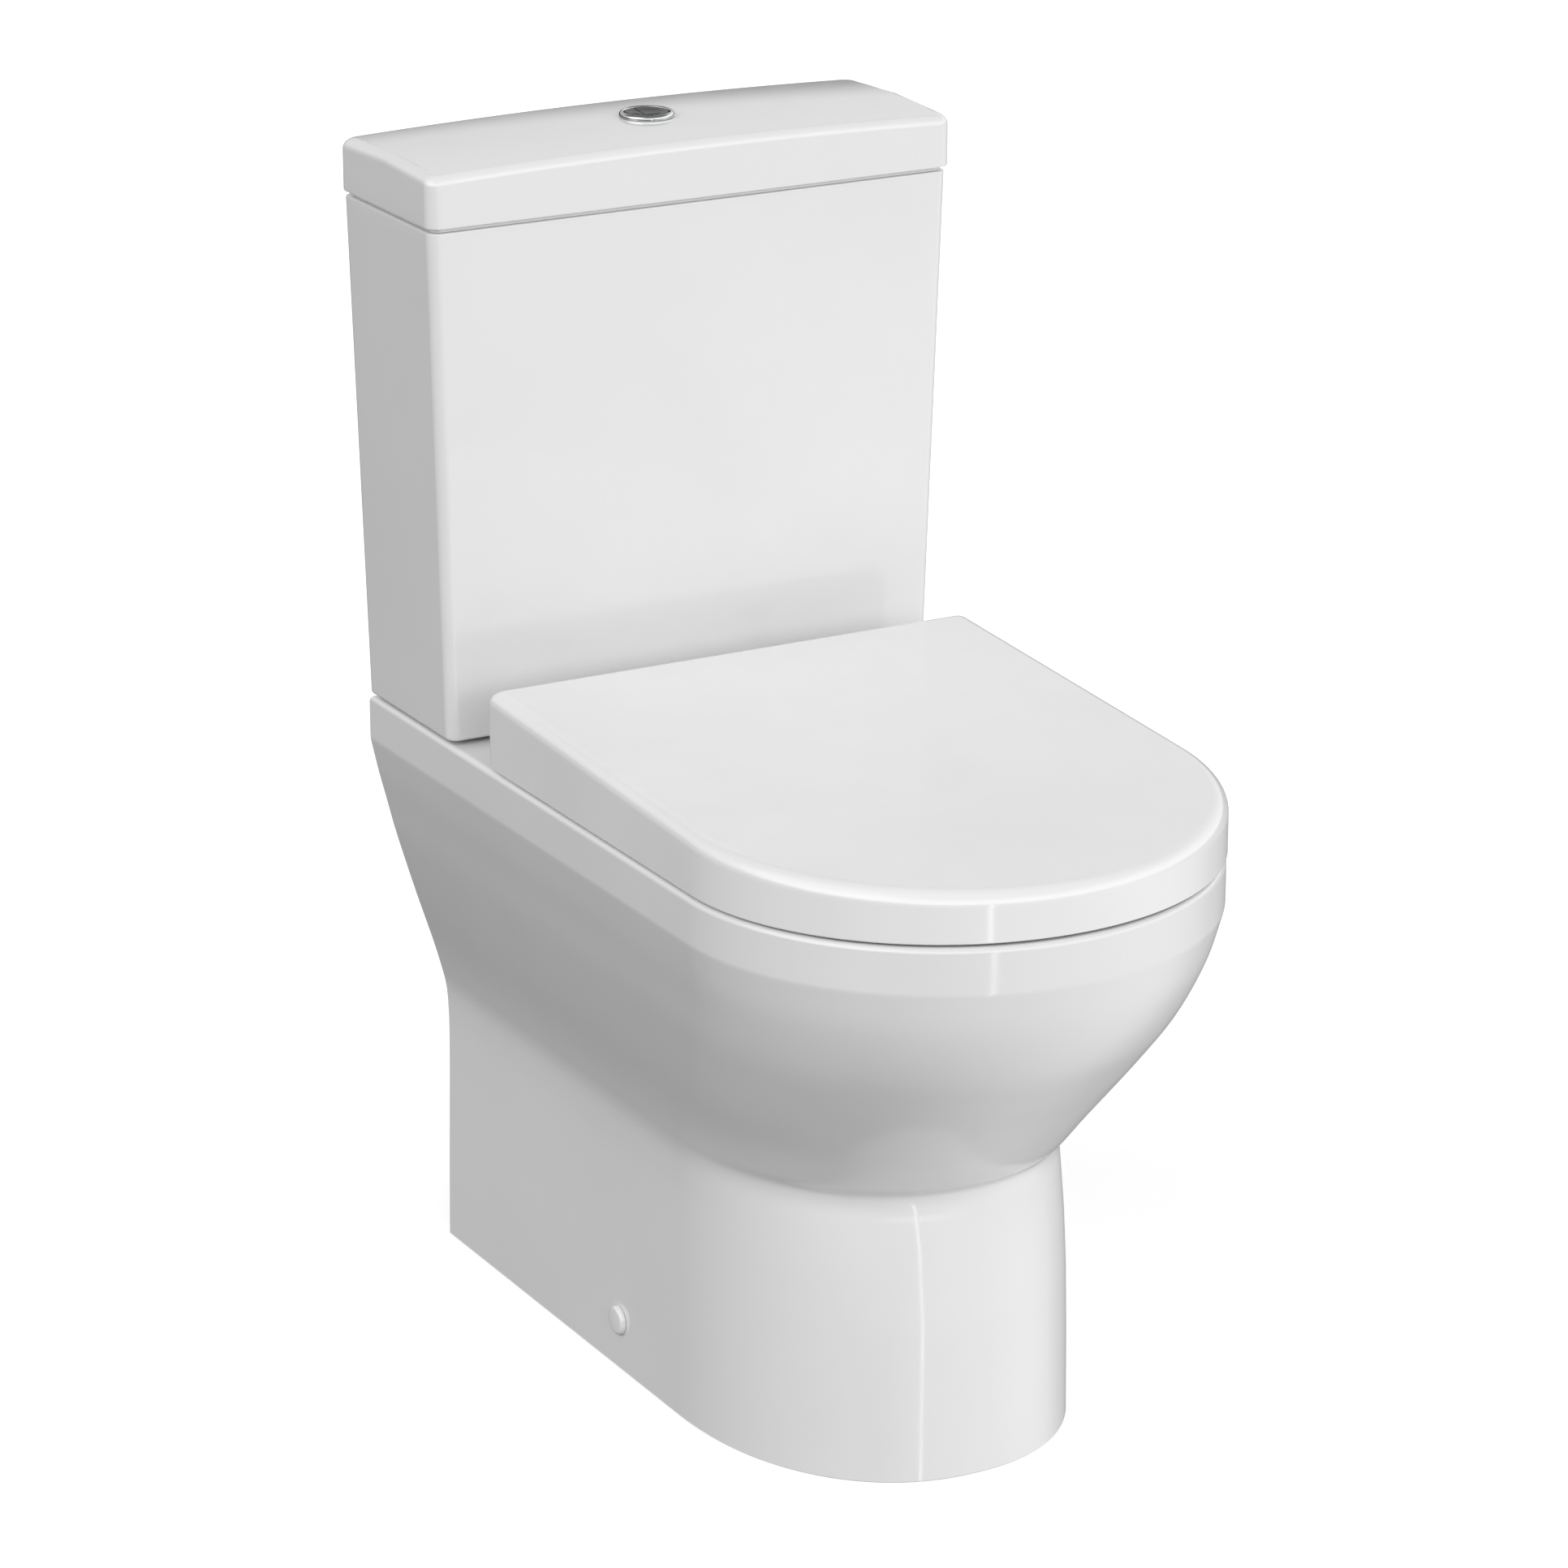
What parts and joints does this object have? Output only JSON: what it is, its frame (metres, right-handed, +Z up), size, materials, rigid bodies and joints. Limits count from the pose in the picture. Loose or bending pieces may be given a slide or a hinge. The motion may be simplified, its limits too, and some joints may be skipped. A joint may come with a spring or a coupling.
{
  "type": "close coupled toilet",
  "caption": "White close coupled toilet with back to wall pan, slim cistern, wrap over soft close seat and dual flush button.",
  "frame": {"origin": "on the floor, under the middle of the toilet's width and depth", "axes": "+Z up, +Y to the wall behind the toilet, the seat's front faces -Y, +X to the right when seen from the front"},
  "size_m": [0.386, 0.635, 0.803],
  "materials": {
    "china": "white glazed vitreous china",
    "seat_plastic": "gloss white moulded plastic",
    "valve_plastic": "pale moulded valve plastic",
    "blue_plastic": "blue moulded plastic",
    "grey_plastic": "grey moulded plastic",
    "rubber": "black moulded rubber",
    "chrome": "polished chrome plating",
    "steel": "plain stainless steel",
    "brass": "plain brass"
  },
  "bodies": {
    "toilet": {"pan": "china", "cistern_body": "china", "flush_valve_body": "valve_plastic", "flush_valve_washer": "rubber", "flush_valve_backnut": "grey_plastic", "coupling_washer": "rubber", "full_rocker_pin": "steel", "half_rocker_pin": "steel", "inlet_valve": "valve_plastic", "inlet_valve_washer": "rubber", "inlet_valve_backnut": "grey_plastic", "float_lever_pin": "steel", "coupling_bolt_left": "brass", "coupling_bolt_right": "brass", "coupling_bolt_seal_left": "rubber", "coupling_bolt_seal_right": "rubber", "coupling_bolt_washer_left": "steel", "coupling_bolt_washer_right": "steel", "coupling_wing_nut_left": "brass", "coupling_wing_nut_right": "brass", "hinge_post_left": "chrome", "hinge_post_right": "chrome", "hinge_pin_left": "steel", "hinge_pin_right": "steel", "seat_bolt_left": "steel", "seat_bolt_right": "steel", "seat_bolt_bush_left": "rubber", "seat_bolt_bush_right": "rubber", "seat_wing_nut_left": "seat_plastic", "seat_wing_nut_right": "seat_plastic", "floor_bracket_left": "grey_plastic", "floor_bracket_right": "grey_plastic", "side_screw_left": "steel", "side_screw_right": "steel", "side_cap_left": "seat_plastic", "side_cap_right": "seat_plastic"},
    "cistern_cover": {"cistern_lid": "china", "button_bezel": "chrome", "button_nut": "grey_plastic"},
    "full_button": {"full_flush_button": "chrome"},
    "half_button": {"half_flush_button": "chrome"},
    "full_rocker": {"full_flush_rocker": "grey_plastic"},
    "half_rocker": {"half_flush_rocker": "grey_plastic"},
    "plunger": {"flush_plunger": "blue_plastic", "plunger_seal": "rubber"},
    "half_float": {"half_flush_float": "grey_plastic"},
    "inlet_float": {"float_cup": "valve_plastic"},
    "inlet_lever": {"float_lever": "grey_plastic"},
    "ring": {"seat_ring": "seat_plastic", "ring_buffer_rear_left": "rubber", "ring_buffer_rear_right": "rubber", "ring_buffer_front_left": "rubber", "ring_buffer_front_right": "rubber", "ring_damper": "grey_plastic"},
    "lid": {"seat_lid": "seat_plastic", "lid_buffer_left": "rubber", "lid_buffer_right": "rubber", "lid_damper": "grey_plastic"}
  },
  "joints": [
    {"name": "cistern_lid_lift", "type": "slide", "parent": "toilet", "child": "cistern_cover", "axis": [0, 0, 1], "range_m": [0, 0.15]},
    {"name": "full_flush_press", "type": "slide", "parent": "cistern_cover", "child": "full_button", "axis": [0, 0, -1], "range_m": [0, 0.006], "stiffness_N_per_m": 300, "springref_m": -0.004},
    {"name": "half_flush_press", "type": "slide", "parent": "cistern_cover", "child": "half_button", "axis": [0, 0, -1], "range_m": [0, 0.006], "stiffness_N_per_m": 300, "springref_m": -0.004},
    {"name": "full_rocker_turn", "type": "hinge", "parent": "toilet", "child": "full_rocker", "pos_m": [0.03, 0.25, 0.724], "axis": [0, -1, 0], "range_deg": [0, 16]},
    {"name": "half_rocker_turn", "type": "hinge", "parent": "toilet", "child": "half_rocker", "pos_m": [-0.03, 0.25, 0.724], "axis": [0, 1, 0], "range_deg": [0, 16]},
    {"name": "plunger_lift", "type": "slide", "parent": "toilet", "child": "plunger", "axis": [0, 0, 1], "range_m": [0, 0.0062]},
    {"name": "half_float_lift", "type": "slide", "parent": "toilet", "child": "half_float", "axis": [0, 0, 1], "range_m": [0, 0.0062]},
    {"name": "inlet_float_rise", "type": "slide", "parent": "toilet", "child": "inlet_float", "axis": [0, 0, 1], "range_m": [0, 0.012]},
    {"name": "inlet_lever_tilt", "type": "hinge", "parent": "toilet", "child": "inlet_lever", "pos_m": [0.135, 0.25, 0.679], "axis": [0, 1, 0], "range_deg": [0, 19]},
    {"name": "seat_ring_hinge", "type": "hinge", "parent": "toilet", "child": "ring", "pos_m": [0, 0.1215, 0.434], "axis": [-1, 0, 0], "range_deg": [0, 95]},
    {"name": "seat_lid_hinge", "type": "hinge", "parent": "ring", "child": "lid", "pos_m": [0, 0.1215, 0.434], "axis": [1, 0, 0], "range_deg": [-95, 0]}
  ],
  "couplings": [
    {"joint": "full_rocker_turn", "follows": "full_flush_press", "rad_per_m": 46},
    {"joint": "half_rocker_turn", "follows": "half_flush_press", "rad_per_m": 46},
    {"joint": "plunger_lift", "follows": "full_flush_press", "ratio": 1},
    {"joint": "half_float_lift", "follows": "half_flush_press", "ratio": 1},
    {"joint": "inlet_lever_tilt", "follows": "inlet_float_rise", "rad_per_m": 26.8}
  ]
}
